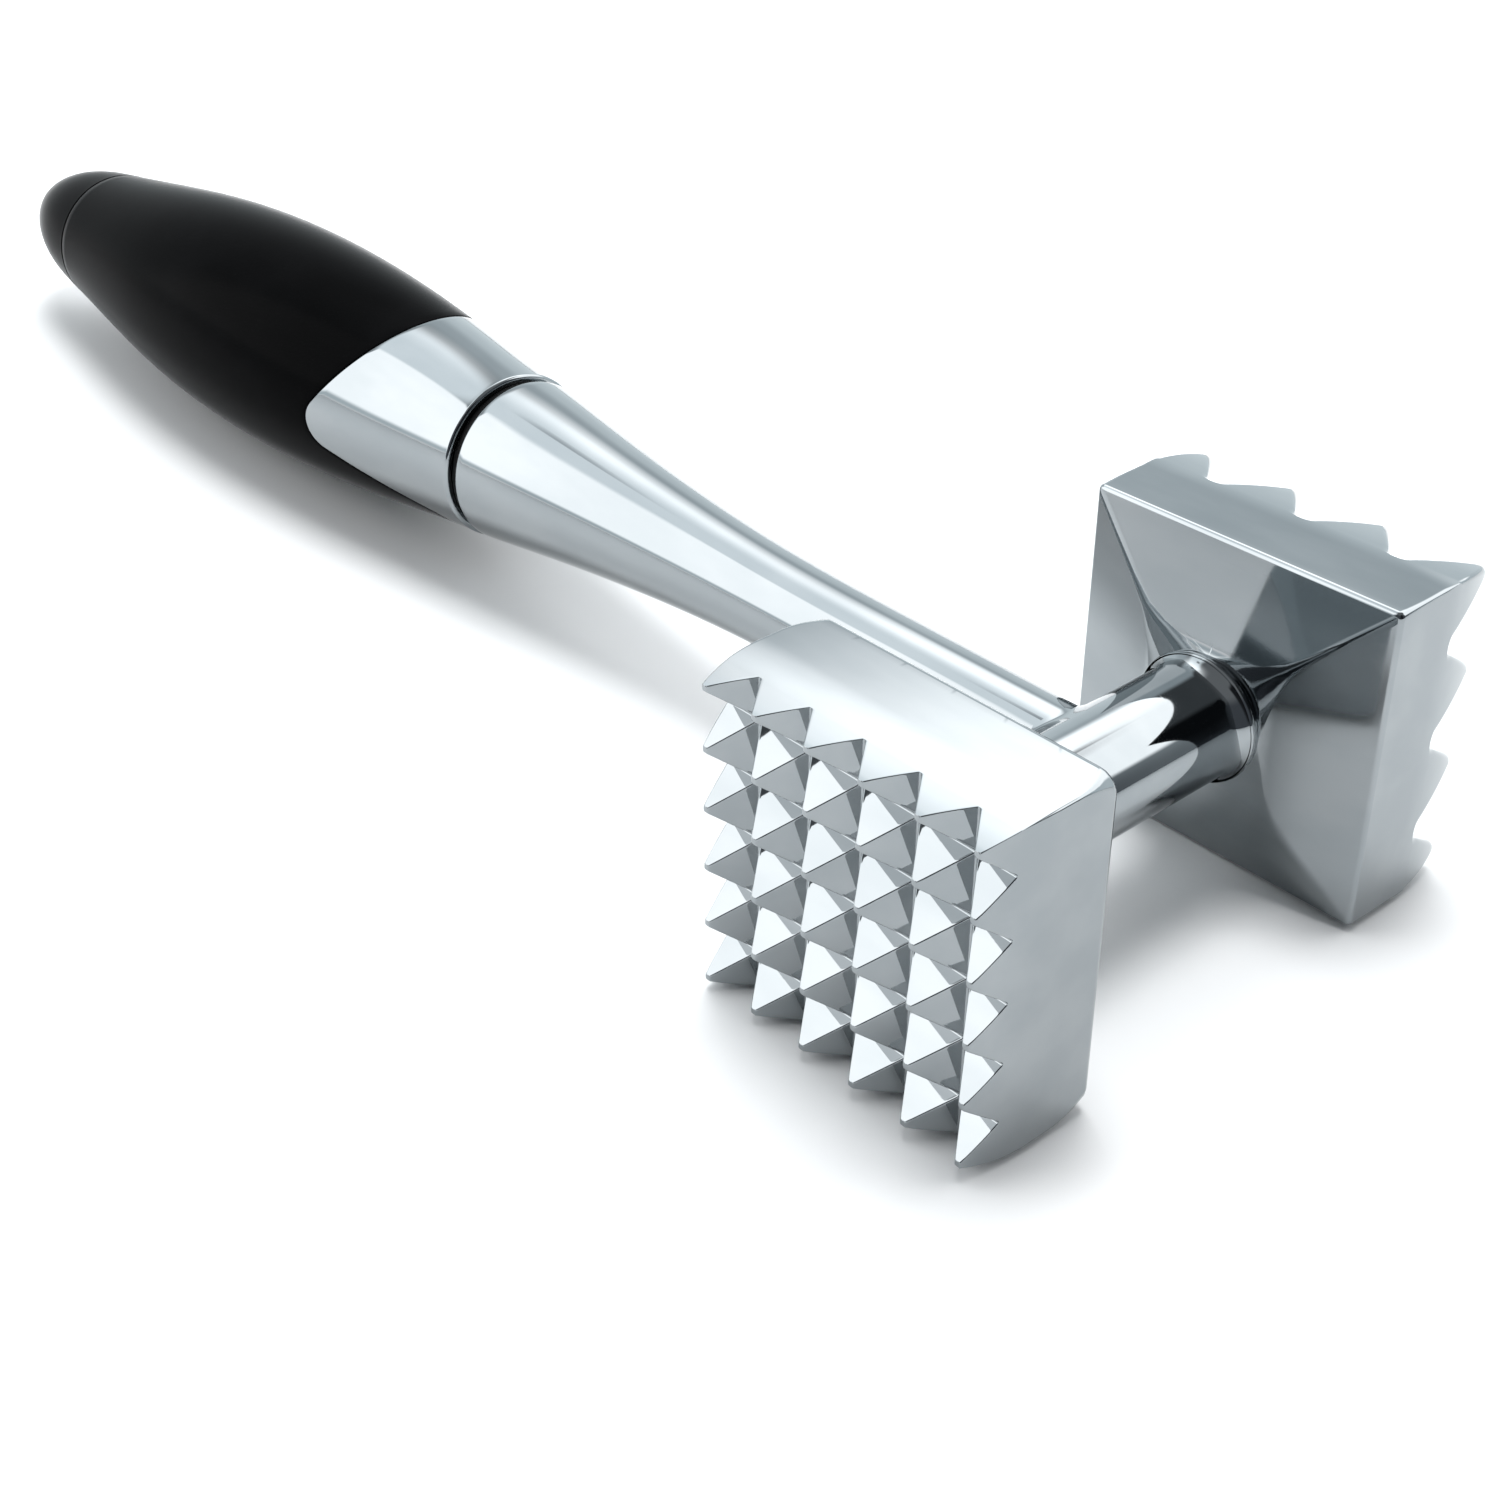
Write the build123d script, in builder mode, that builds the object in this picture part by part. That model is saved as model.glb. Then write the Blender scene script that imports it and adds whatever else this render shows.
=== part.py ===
from build123d import *
import os

# Two-sided meat mallet, lying on its side.
# X runs along the handle towards the head, Y along the head, +Z is up.
# The origin is the middle of the tool's length and width, in the plane that the head lies on.
# Handle stations are distances from the head's centre towards the end of the grip.

# ---- driving dimensions (mm) ----
OVERALL = 298.0            # end of the grip to the free side of the head
FACE = 45.0                # side of each square head block
HEAD_LENGTH = 87.4         # tooth tips to tooth tips

# head blocks, measured outwards from the head's centre
SEAT = 20.0                # flat that the neck bears on
SEAT_RADIUS = 8.8
SEAT_FLAT = 7.0            # half side of the flat in the middle of the sloping back
BACK_EDGE = 24.4
BACK_ROUND = 1.0
CROWN_LENGTH = 10.5        # stretch of the side faces that curves in towards the teeth
CROWN_DROP = 1.4

FINE_GROOVES = 5
FINE_DEPTH = 4.7
FINE_TIP = 0.9             # flat left on each tooth
FINE_VALLEY = 0.7          # flat at the bottom of each groove
COARSE_GROOVES = 3
COARSE_DEPTH = 8.0
COARSE_TIP = 1.7
COARSE_VALLEY = 1.3

# neck and the stud inside it
NECK_RADIUS = 7.8
NECK_LIP = 1.0             # how far the lip at each end stands out
NECK_LIP_LENGTH = 2.4
NECK_LIP_EDGE = 0.5
STUD_RADIUS = 3.0          # M6
STUD_THREAD = 9.0          # thread in each block
STUD_WAIST = 0.5           # depth of the relief behind each thread
STUD_WAIST_LENGTH = 2.0
STUD_CHAMFER = 0.6

# stem
STEM_RADIUS = 6.5
STEM_START = 4.0           # just inside the neck's barrel
STEM_STRAIGHT = 36.0       # end of the nearly straight stretch
COLLAR_END = 115.6
COLLAR_RADIUS = 13.0
COLLAR_EDGE = 0.7
SPIGOT_RADIUS = 5.2
SPIGOT_REACH = 5.5         # past the neck's centre
REGISTER_RADIUS = 8.5      # boss that centres the seal ring

# ring, ferrule and grip
RING_WIDTH = 1.6
RING_RADIUS = 12.3
RING_EDGE = 0.3
FERRULE_FRONT = 3.0        # thickness of the ferrule's front wall
LIP_RADIUS = 13.4
LIP_EDGE = 0.6
WALL = 2.2                 # ferrule and sleeve over the core
FERRULE_TOP = 138.5        # ferrule's edge on top of the handle
FERRULE_TOP_HEIGHT = 17.0      # where that edge starts to slant down to the tongue
FERRULE_BELOW = 121.4      # ferrule's edge under the handle
FERRULE_BELOW_HEIGHT = -12.0
TONGUE_TIP = (155.3, -2.4)     # where the tongue's two edges would meet
TONGUE_ROOT = (123.5, -9.3)    # where its lower edge turns down
TONGUE_ROUND = 4.5
SEAM = 0.12                # gap between the ferrule and the sleeve
CAP_START = 248.0
CAP_SEAM = 0.15
CAP_PLUG = 7.0             # length of the plug inside the core

# tang
ROD_RADIUS = 3.0           # M6
ROD_START = 98.0           # bottom of the hole in the stem
ROD_OVERHANG = 2.5         # rod behind the nut
POCKET_RADIUS = 6.6
POCKET_FLOOR = 226.0
WASHER_RADIUS = 6.0
WASHER_THICKNESS = 1.4
NUT_FLATS = 10.0
NUT_HEIGHT = 5.0
NUT_CHAMFER = 0.5
CLEARANCE = 0.1            # radial play of the loose fits
MARGIN = 1.0               # how far a cutting tool runs past what it cuts

# ---- places that follow ----
HALF_FACE = FACE / 2
HALF_HEAD = HEAD_LENGTH / 2
TIP_HALF = HALF_FACE - CROWN_DROP
CROWN_START = HALF_HEAD - CROWN_LENGTH
GRIP_END = OVERALL - HALF_FACE
FERRULE_START = COLLAR_END + RING_WIDTH
CORE_START = FERRULE_START + FERRULE_FRONT
NUT_START = POCKET_FLOOR + WASHER_THICKNESS
ROD_END = NUT_START + NUT_HEIGHT + ROD_OVERHANG

HEAD_CENTRE = (OVERALL / 2 - HALF_FACE, 0, HALF_FACE)
# local x is the handle station, local y is up: profiles and the ferrule's side view
HANDLE = Plane(origin=HEAD_CENTRE, x_dir=(-1, 0, 0), z_dir=(0, 1, 0))
HANDLE_AXIS = Axis(HEAD_CENTRE, (-1, 0, 0))
# local x is the distance along the head, local y is up
ALONG_HEAD = Plane(origin=HEAD_CENTRE, x_dir=(0, 1, 0), z_dir=(1, 0, 0))
HEAD_AXIS = Axis(HEAD_CENTRE, (0, 1, 0))

# outside of ferrule, sleeve and cap: station and radius
GRIP_POINTS = [
    (FERRULE_START + LIP_EDGE, LIP_RADIUS),
    (140.0, 16.1),
    (178.0, 19.2),
    (212.0, 17.9),
    (248.0, 13.0),
    (266.0, 9.0),
    (GRIP_END, 0.0),
]
GRIP_START_TANGENT = (1, 0.07)
GRIP_END_TANGENT = (0, -1)


def block_outline():
    """Outline of a head block from above or from the end, teeth towards +y."""
    with BuildSketch() as outline:
        with BuildLine():
            Polyline((-HALF_FACE, CROWN_START), (-HALF_FACE, BACK_EDGE), (-SEAT_FLAT, SEAT))
            Line((-SEAT_FLAT, SEAT), (SEAT_FLAT, SEAT))
            Polyline((SEAT_FLAT, SEAT), (HALF_FACE, BACK_EDGE), (HALF_FACE, CROWN_START))
            TangentArc((HALF_FACE, CROWN_START), (TIP_HALF, HALF_HEAD), tangent=(0, 1))
            Line((TIP_HALF, HALF_HEAD), (-TIP_HALF, HALF_HEAD))
            TangentArc((-HALF_FACE, CROWN_START), (-TIP_HALF, HALF_HEAD), tangent=(0, 1))
        make_face()
        back_corners = outline.vertices().sort_by(Axis.Y)[2:4]
        fillet(back_corners, radius=BACK_ROUND)
    return outline.sketch


def groove_outlines(grooves, depth, tip, valley):
    """Mouths of the V-grooves of one direction, as seen along them."""
    pitch = (2 * TIP_HALF - tip) / grooves
    mouth = pitch - tip
    slope = (mouth - valley) / 2 / depth
    top = mouth / 2 + MARGIN * slope
    with BuildSketch() as outlines:
        with Locations((0, HALF_HEAD - depth)):
            with GridLocations(pitch, pitch, grooves, 1):
                Polygon(
                    (-valley / 2, 0), (valley / 2, 0), (top, depth + MARGIN), (-top, depth + MARGIN),
                    align=None,
                )
    return outlines.sketch


def tooth_block(side, outlines):
    """Head block on one side of the neck, +1 or -1, with crossing grooves cut in its face."""
    seen_from_above = Plane(origin=HEAD_CENTRE, x_dir=(side, 0, 0), z_dir=(0, 0, 1))
    seen_from_end = Plane(origin=HEAD_CENTRE, x_dir=(0, 0, 1), z_dir=(-side, 0, 0))
    seat = Plane(origin=HEAD_CENTRE, x_dir=(1, 0, 0), z_dir=(0, side, 0)).offset(SEAT)
    with BuildPart() as block:
        with BuildSketch(seen_from_above):
            add(block_outline())
        extrude(amount=HALF_FACE, both=True)
        with BuildSketch(seen_from_end):
            add(block_outline())
        extrude(amount=HALF_FACE, both=True, mode=Mode.INTERSECT)
        with BuildSketch(seat):
            Circle(SEAT_RADIUS)
        extrude(amount=BACK_EDGE - SEAT)
        for view in (seen_from_above, seen_from_end):
            with BuildSketch(view):
                add(outlines)
            extrude(amount=HALF_FACE + MARGIN, both=True, mode=Mode.SUBTRACT)
        with BuildSketch(seat):
            Circle(STUD_RADIUS)
        extrude(amount=STUD_THREAD + MARGIN, mode=Mode.SUBTRACT)
    return block


def grip_section(start, end, inset=0.0):
    """Half section of the grip between two stations, inset from its outside."""
    points = [(station, radius - inset) for station, radius in GRIP_POINTS[:-1]]
    points.append((GRIP_END - inset, 0.0))
    with BuildSketch() as section:
        with BuildLine():
            Spline(points, tangents=(GRIP_START_TANGENT, GRIP_END_TANGENT))
            Polyline(points[-1], (points[0][0], 0), points[0])
        make_face()
        with Locations(((start + end) / 2, 0)):
            Rectangle(end - start, 4 * LIP_RADIUS, mode=Mode.INTERSECT)
    return section.sketch


def ferrule_side_view(grow=0.0):
    """The ferrule seen from the side: a tongue that is cut back a little above and more below."""
    high = 2 * LIP_RADIUS
    with BuildSketch() as view:
        with BuildLine():
            Polyline(
                (FERRULE_START - MARGIN, high),
                (FERRULE_TOP, high),
                (FERRULE_TOP, FERRULE_TOP_HEIGHT),
                TONGUE_TIP,
                TONGUE_ROOT,
                (FERRULE_BELOW, FERRULE_BELOW_HEIGHT),
                (FERRULE_BELOW, -high),
                (FERRULE_START - MARGIN, -high),
                close=True,
            )
        make_face()
        tip = view.vertices().sort_by(Axis.X)[-1]
        fillet(tip, radius=TONGUE_ROUND)
        if grow:
            offset(amount=grow)
    return view.sketch


# ---- head ----
fine_grooves = groove_outlines(FINE_GROOVES, FINE_DEPTH, FINE_TIP, FINE_VALLEY)
fine_tooth_block = tooth_block(-1, fine_grooves)

coarse_grooves = groove_outlines(COARSE_GROOVES, COARSE_DEPTH, COARSE_TIP, COARSE_VALLEY)
coarse_tooth_block = tooth_block(1, coarse_grooves)

with BuildPart() as cross_neck:
    with BuildSketch(ALONG_HEAD):
        with BuildLine():
            bore = STUD_RADIUS + CLEARANCE
            lip = NECK_RADIUS + NECK_LIP
            flare = SEAT - NECK_LIP_LENGTH
            Polyline((-flare, NECK_RADIUS), (flare, NECK_RADIUS))
            TangentArc((flare, NECK_RADIUS), (SEAT - NECK_LIP_EDGE, lip), tangent=(1, 0))
            Polyline((SEAT - NECK_LIP_EDGE, lip), (SEAT, lip), (SEAT, bore), (-SEAT, bore), (-SEAT, lip))
            Line((-SEAT, lip), (NECK_LIP_EDGE - SEAT, lip))
            TangentArc((-flare, NECK_RADIUS), (NECK_LIP_EDGE - SEAT, lip), tangent=(-1, 0))
        make_face()
    revolve(axis=HEAD_AXIS)
    with BuildSketch(Plane(origin=HEAD_CENTRE, x_dir=(0, 1, 0), z_dir=(-1, 0, 0)).offset(-SPIGOT_REACH)):
        Circle(SPIGOT_RADIUS)
    extrude(amount=2 * NECK_RADIUS, mode=Mode.SUBTRACT)

with BuildPart() as tie_stud:
    with BuildSketch(ALONG_HEAD):
        with BuildLine():
            end = SEAT + STUD_THREAD
            relief = SEAT - STUD_WAIST_LENGTH
            waist = STUD_RADIUS - STUD_WAIST
            half = [
                (end, 0),
                (end, STUD_RADIUS - STUD_CHAMFER),
                (end - STUD_CHAMFER, STUD_RADIUS),
                (SEAT, STUD_RADIUS),
                (SEAT, waist),
                (relief, waist),
                (relief, STUD_RADIUS),
            ]
            Polyline(half + [(-along, radius) for along, radius in reversed(half)], close=True)
        make_face()
    revolve(axis=HEAD_AXIS)

# ---- stem ----
with BuildPart() as stem:
    with BuildSketch(HANDLE):
        with BuildLine():
            Polyline((STEM_START, 0), (STEM_START, STEM_RADIUS), (STEM_STRAIGHT, STEM_RADIUS + 0.1))
            Spline(
                (STEM_STRAIGHT, STEM_RADIUS + 0.1),
                (60.0, 7.1),
                (80.0, 8.6),
                (98.0, 10.7),
                (COLLAR_END - COLLAR_EDGE, COLLAR_RADIUS),
                tangents=((1, 0.005), (1, 0.13)),
            )
            Polyline(
                (COLLAR_END - COLLAR_EDGE, COLLAR_RADIUS),
                (COLLAR_END, COLLAR_RADIUS - COLLAR_EDGE),
                (COLLAR_END, REGISTER_RADIUS),
                (FERRULE_START, REGISTER_RADIUS),
                (FERRULE_START, 0),
                (STEM_START, 0),
            )
        make_face()
    revolve(axis=HANDLE_AXIS)
    # saddle that sits on the neck's barrel
    with BuildSketch(Plane(origin=HEAD_CENTRE, x_dir=(1, 0, 0), z_dir=(0, 1, 0))):
        Circle(NECK_RADIUS)
    extrude(amount=SEAT, both=True, mode=Mode.SUBTRACT)
    across = Plane(origin=HEAD_CENTRE, x_dir=(0, 1, 0), z_dir=(-1, 0, 0))
    with BuildSketch(across.offset(-SPIGOT_REACH)):
        Circle(SPIGOT_RADIUS)
    extrude(amount=SPIGOT_REACH + NECK_RADIUS + MARGIN)
    # eye for the tie stud
    with BuildSketch(Plane(origin=HEAD_CENTRE, x_dir=(1, 0, 0), z_dir=(0, 1, 0))):
        Circle(STUD_RADIUS + CLEARANCE)
    extrude(amount=SEAT, both=True, mode=Mode.SUBTRACT)
    with BuildSketch(across.offset(ROD_START)):
        Circle(ROD_RADIUS)
    extrude(amount=FERRULE_START - ROD_START + MARGIN, mode=Mode.SUBTRACT)

with BuildPart() as seal_ring:
    with BuildSketch(across.offset(COLLAR_END)):
        Circle(RING_RADIUS)
        Circle(REGISTER_RADIUS, mode=Mode.SUBTRACT)
    extrude(amount=RING_WIDTH)
    fillet(seal_ring.edges().filter_by(GeomType.CIRCLE).sort_by(SortBy.LENGTH)[-2:], radius=RING_EDGE)

# ---- ferrule and grip ----
with BuildPart() as ferrule:
    with BuildSketch(HANDLE):
        with BuildLine():
            Polyline(
                (FERRULE_START + LIP_EDGE, LIP_RADIUS),
                (FERRULE_START, LIP_RADIUS - LIP_EDGE),
                (FERRULE_START, 0),
                (FERRULE_START + LIP_EDGE, 0),
                close=True,
            )
        make_face()
    revolve(axis=HANDLE_AXIS)
    with BuildSketch(HANDLE):
        add(grip_section(FERRULE_START, TONGUE_TIP[0]))
    revolve(axis=HANDLE_AXIS)
    with BuildSketch(HANDLE):
        add(grip_section(CORE_START, TONGUE_TIP[0], WALL))
    revolve(axis=HANDLE_AXIS, mode=Mode.SUBTRACT)
    with BuildSketch(HANDLE):
        add(ferrule_side_view())
    extrude(amount=FACE, both=True, mode=Mode.INTERSECT)
    with BuildSketch(across.offset(FERRULE_START)):
        Circle(ROD_RADIUS + CLEARANCE)
    extrude(amount=FERRULE_FRONT, mode=Mode.SUBTRACT)

with BuildPart() as grip_core:
    with BuildSketch(HANDLE):
        add(grip_section(CORE_START, CAP_START, WALL))
    revolve(axis=HANDLE_AXIS)
    with BuildSketch(across.offset(CORE_START)):
        Circle(ROD_RADIUS + CLEARANCE)
    extrude(amount=CAP_START - CORE_START, mode=Mode.SUBTRACT)
    with BuildSketch(across.offset(POCKET_FLOOR)):
        Circle(POCKET_RADIUS)
    extrude(amount=CAP_START - POCKET_FLOOR, mode=Mode.SUBTRACT)

with BuildPart() as grip_sleeve:
    with BuildSketch(HANDLE):
        add(grip_section(CORE_START, CAP_START))
    revolve(axis=HANDLE_AXIS)
    with BuildSketch(HANDLE):
        add(grip_section(CORE_START, CAP_START, WALL))
    revolve(axis=HANDLE_AXIS, mode=Mode.SUBTRACT)
    with BuildSketch(HANDLE):
        add(ferrule_side_view(SEAM))
    extrude(amount=FACE, both=True, mode=Mode.SUBTRACT)

with BuildPart() as end_cap:
    with BuildSketch(HANDLE):
        add(grip_section(CAP_START + CAP_SEAM, GRIP_END))
    revolve(axis=HANDLE_AXIS)
    with BuildSketch(across.offset(CAP_START - CAP_PLUG)):
        Circle(POCKET_RADIUS)
    extrude(amount=CAP_PLUG + CAP_SEAM)

# ---- tang ----
with BuildPart() as tang_rod:
    with BuildSketch(across.offset(ROD_START)):
        Circle(ROD_RADIUS)
    extrude(amount=ROD_END - ROD_START)
    chamfer(tang_rod.edges().filter_by(GeomType.CIRCLE), length=STUD_CHAMFER)

with BuildPart() as tang_washer:
    with BuildSketch(across.offset(POCKET_FLOOR)):
        Circle(WASHER_RADIUS)
        Circle(ROD_RADIUS + CLEARANCE, mode=Mode.SUBTRACT)
    extrude(amount=WASHER_THICKNESS)

with BuildPart() as tang_nut:
    with BuildSketch(across.offset(NUT_START)):
        RegularPolygon(NUT_FLATS / 2, 6, major_radius=False)
        Circle(ROD_RADIUS, mode=Mode.SUBTRACT)
    extrude(amount=NUT_HEIGHT)
    chamfer(tang_nut.edges().filter_by(GeomType.CIRCLE), length=NUT_CHAMFER)

# ---- labels and files ----
fine_tooth_block.part.label = "fine_tooth_block"
coarse_tooth_block.part.label = "coarse_tooth_block"
cross_neck.part.label = "cross_neck"
tie_stud.part.label = "tie_stud"
stem.part.label = "stem"
seal_ring.part.label = "seal_ring"
ferrule.part.label = "ferrule"
grip_core.part.label = "grip_core"
grip_sleeve.part.label = "grip_sleeve"
end_cap.part.label = "end_cap"
tang_rod.part.label = "tang_rod"
tang_washer.part.label = "tang_washer"
tang_nut.part.label = "tang_nut"

os.makedirs("parts", exist_ok=True)
export_step(fine_tooth_block.part, "parts/fine_tooth_block.step")
export_step(coarse_tooth_block.part, "parts/coarse_tooth_block.step")
export_step(cross_neck.part, "parts/cross_neck.step")
export_step(tie_stud.part, "parts/tie_stud.step")
export_step(stem.part, "parts/stem.step")
export_step(seal_ring.part, "parts/seal_ring.step")
export_step(ferrule.part, "parts/ferrule.step")
export_step(grip_core.part, "parts/grip_core.step")
export_step(grip_sleeve.part, "parts/grip_sleeve.step")
export_step(end_cap.part, "parts/end_cap.step")
export_step(tang_rod.part, "parts/tang_rod.step")
export_step(tang_washer.part, "parts/tang_washer.step")
export_step(tang_nut.part, "parts/tang_nut.step")
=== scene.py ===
# %% [markdown]
# # A two-sided meat mallet
#
# The mallet is a chromed head with two square tooth blocks on a short neck, a chromed stem that
# swells to a collar, and a black grip behind a chromed ferrule. The CAD frame already fixes every
# size and place. These cells build the surfaces that a hand or an eye would meet: tooth faces,
# turned metal, the ferrule's long tongue, a moulded grip. Places are measured from the CAD nodes,
# so nothing has to be fitted afterwards.

# %% Load the frame
import math

import bmesh
import bpy
import numpy as np
from mathutils import Matrix, Vector


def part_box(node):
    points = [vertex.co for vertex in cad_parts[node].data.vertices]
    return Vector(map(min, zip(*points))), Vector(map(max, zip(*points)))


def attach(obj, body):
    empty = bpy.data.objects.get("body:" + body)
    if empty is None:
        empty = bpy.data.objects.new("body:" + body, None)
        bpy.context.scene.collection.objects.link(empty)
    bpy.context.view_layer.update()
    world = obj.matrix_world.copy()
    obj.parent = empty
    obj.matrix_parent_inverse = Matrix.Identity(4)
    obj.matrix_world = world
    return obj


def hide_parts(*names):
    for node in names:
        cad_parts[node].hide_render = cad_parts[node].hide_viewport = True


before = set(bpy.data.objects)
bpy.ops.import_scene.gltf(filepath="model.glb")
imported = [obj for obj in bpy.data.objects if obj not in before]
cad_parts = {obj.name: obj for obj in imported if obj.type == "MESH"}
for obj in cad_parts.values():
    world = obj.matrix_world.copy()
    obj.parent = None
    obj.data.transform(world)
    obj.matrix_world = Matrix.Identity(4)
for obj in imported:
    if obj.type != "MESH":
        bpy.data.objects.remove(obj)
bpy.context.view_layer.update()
MM = 0.001
print("nodes:", sorted(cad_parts))

# %% [markdown]
# ## Places read from the frame
#
# A maker would lay the mallet on its side and measure from the middle of the head, where the
# head's axis (Y) crosses the handle's axis (X). The neck is turned about the head's axis, so the
# middle of its box is that crossing. Stations along the handle are distances from it towards the
# grip, as a lathe hand would read them off a rule.

# %% Centre of the head and stations along the handle
def box_mm(node):
    """Lowest and highest corner of a CAD node in millimetres."""
    low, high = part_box(node)
    return np.array(low) / MM, np.array(high) / MM


neck_low, neck_high = box_mm("cross_neck")
CENTRE = (neck_low + neck_high) / 2
fine_low, fine_high = box_mm("fine_tooth_block")
HALF_FACE = (fine_high[0] - fine_low[0]) / 2
HALF_HEAD = CENTRE[1] - fine_low[1]
SEAT = neck_high[1] - CENTRE[1]
COLLAR_END = CENTRE[0] - box_mm("seal_ring")[1][0]
FERRULE_START = CENTRE[0] - box_mm("ferrule")[1][0]
GRIP_END = CENTRE[0] - box_mm("end_cap")[0][0]
CAP_START = CENTRE[0] - box_mm("grip_sleeve")[0][0]
print(f"head centre {CENTRE.round(2)}, half face {HALF_FACE:.2f}, half head {HALF_HEAD:.2f}")
print(f"collar {COLLAR_END:.1f}, ferrule {FERRULE_START:.1f}, cap {CAP_START:.1f}, end {GRIP_END:.1f}")

# %% [markdown]
# ## Tools for skins and profiles
#
# Every piece here is a stack of rings: circles for turned metal, rounded squares for the blocks.
# One helper skins such a stack with quads, and others give the profile of a lathe cut as arcs and
# a clamped spline, the curve that passes through a few measured radii with known end slopes.
# Bisecting or box modelling could make the same shapes, but a mirror finish shows every uneven
# face, and regular rings keep the reflections clean.

# %% Skinning rings
HANDLE = (Vector(CENTRE), Vector((-1, 0, 0)), Vector((0, -1, 0)), Vector((0, 0, 1)))
HEAD = (Vector(CENTRE), Vector((0, 1, 0)), Vector((-1, 0, 0)), Vector((0, 0, 1)))
SHARP = math.radians(40)   # edges that turn more than this stay crisp


def on_axis(axis, along, radius, angle):
    """Point at a station, radius and angle about an axis; a right angle is straight up."""
    origin, direction, side, up = axis
    return origin + direction * along + (side * math.cos(angle) + up * math.sin(angle)) * radius


def skin(bm, rings, closed=False):
    """Joins rings of equally many vertices with quads, or with triangles where vertices meet."""
    following = rings[1:] + rings[:1] if closed else rings[1:]
    for ring, other in zip(rings, following):
        for i in range(len(ring)):
            j = (i + 1) % len(ring)
            corners = list(dict.fromkeys([ring[i], ring[j], other[j], other[i]]))
            if len(corners) > 2:
                bm.faces.new(corners)


def mark_sharp(bm):
    """Keeps the corners of a piece crisp while the rest is shaded smooth."""
    for edge in bm.edges:
        edge.smooth = edge.calc_face_angle(0.0) < SHARP


def made_piece(bm, name):
    """Makes an object in metres from a bmesh in millimetres."""
    bmesh.ops.remove_doubles(bm, verts=bm.verts, dist=1e-4)
    bmesh.ops.recalc_face_normals(bm, faces=bm.faces)
    for face in bm.faces:
        face.smooth = True
    mark_sharp(bm)
    bm.transform(Matrix.Scale(MM, 4))
    mesh = bpy.data.meshes.new(name)
    bm.to_mesh(mesh)
    bm.free()
    piece = bpy.data.objects.new(name, mesh)
    bpy.context.scene.collection.objects.link(piece)
    print(f"{name}: {len(mesh.polygons)} faces")
    return piece


def turned(name, axis, profile, segments, cut=None):
    """Turned piece from (along, radius) pairs; `cut` may move a point's station at an angle."""
    bm = bmesh.new()
    rings = []
    for along, radius in profile:
        if radius < 1e-6:
            rings.append([bm.verts.new(on_axis(axis, along, 0, 0))] * segments)
            continue
        angles = [2 * math.pi * i / segments for i in range(segments)]
        places = [cut(along, radius, a) if cut else along for a in angles]
        rings.append([bm.verts.new(on_axis(axis, p, radius, a)) for p, a in zip(places, angles)])
    skin(bm, rings, closed=profile[0][1] > 1e-6)
    return made_piece(bm, name)


print("skinning ready")


# %% Arcs and the clamped spline
def arc(centre, radius, start, end, steps=6):
    """Points on an arc, angles in degrees."""
    turns = np.radians(np.linspace(start, end, steps + 1))
    return [(centre[0] + radius * math.cos(t), centre[1] + radius * math.sin(t)) for t in turns]


def spline(points, start, end, steps):
    """Clamped cubic spline through points, with its end slopes, by chord length."""
    p = np.array(points, float)
    chord = np.linalg.norm(np.diff(p, axis=0), axis=1)
    knots = np.concatenate([[0], np.cumsum(chord)])
    system = np.eye(len(p))
    known = np.zeros_like(p)
    known[0] = np.array(start) / np.linalg.norm(start)
    known[-1] = np.array(end) / np.linalg.norm(end)
    for i in range(1, len(p) - 1):
        a, b = chord[i - 1], chord[i]
        system[i, i - 1:i + 2] = b, 2 * (a + b), a
        known[i] = 3 * (b * (p[i] - p[i - 1]) / a + a * (p[i + 1] - p[i]) / b)
    slope = np.linalg.solve(system, known)
    curve = []
    for s in np.linspace(0, knots[-1], steps + 1):
        i = min(int(np.searchsorted(knots, s, side="right")) - 1, len(chord) - 1)
        h = chord[i]
        w = (s - knots[i]) / h
        rise = 3 * w**2 - 2 * w**3
        bend = (w**3 - 2 * w**2 + w) * slope[i] + (w**3 - w**2) * slope[i + 1]
        curve.append(tuple((1 - rise) * p[i] + rise * p[i + 1] + h * bend))
    return curve


print("profile tools ready")

# %% [markdown]
# ## Shader maths
#
# A finish is a sum of masks: a little more roughness here, a scratch there. Writing that as nodes
# alone is hard to read, so a small class wraps a socket and overloads the usual operators; the
# expression `1 - mask * 0.3` then adds the Math nodes itself. Colours never go through Math, which
# would turn them grey, so they have `mix`. Any other node comes from the one method `node`.

# %% Sockets that do arithmetic
class Value:
    """The output of a node, which can be added, multiplied and so on."""

    def __init__(self, graph, socket):
        self.graph = graph
        self.socket = socket

    def __add__(self, other):
        return self.graph.math("ADD", self, other)

    def __sub__(self, other):
        return self.graph.math("SUBTRACT", self, other)

    def __rsub__(self, other):
        return self.graph.math("SUBTRACT", other, self)

    def __mul__(self, other):
        return self.graph.math("MULTIPLY", self, other)

    def __truediv__(self, other):
        return self.graph.math("DIVIDE", self, other)

    def __rtruediv__(self, other):
        return self.graph.math("DIVIDE", other, self)

    def __pow__(self, other):
        return self.graph.math("POWER", self, other)

    __radd__ = __add__
    __rmul__ = __mul__

    def smooth(self, low, high):
        """0 below low, 1 above high, eased between."""
        inputs = {"Value": self, "From Min": low, "From Max": high}
        return self.graph.node("ShaderNodeMapRange", {"interpolation_type": "SMOOTHSTEP"}, inputs)


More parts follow.
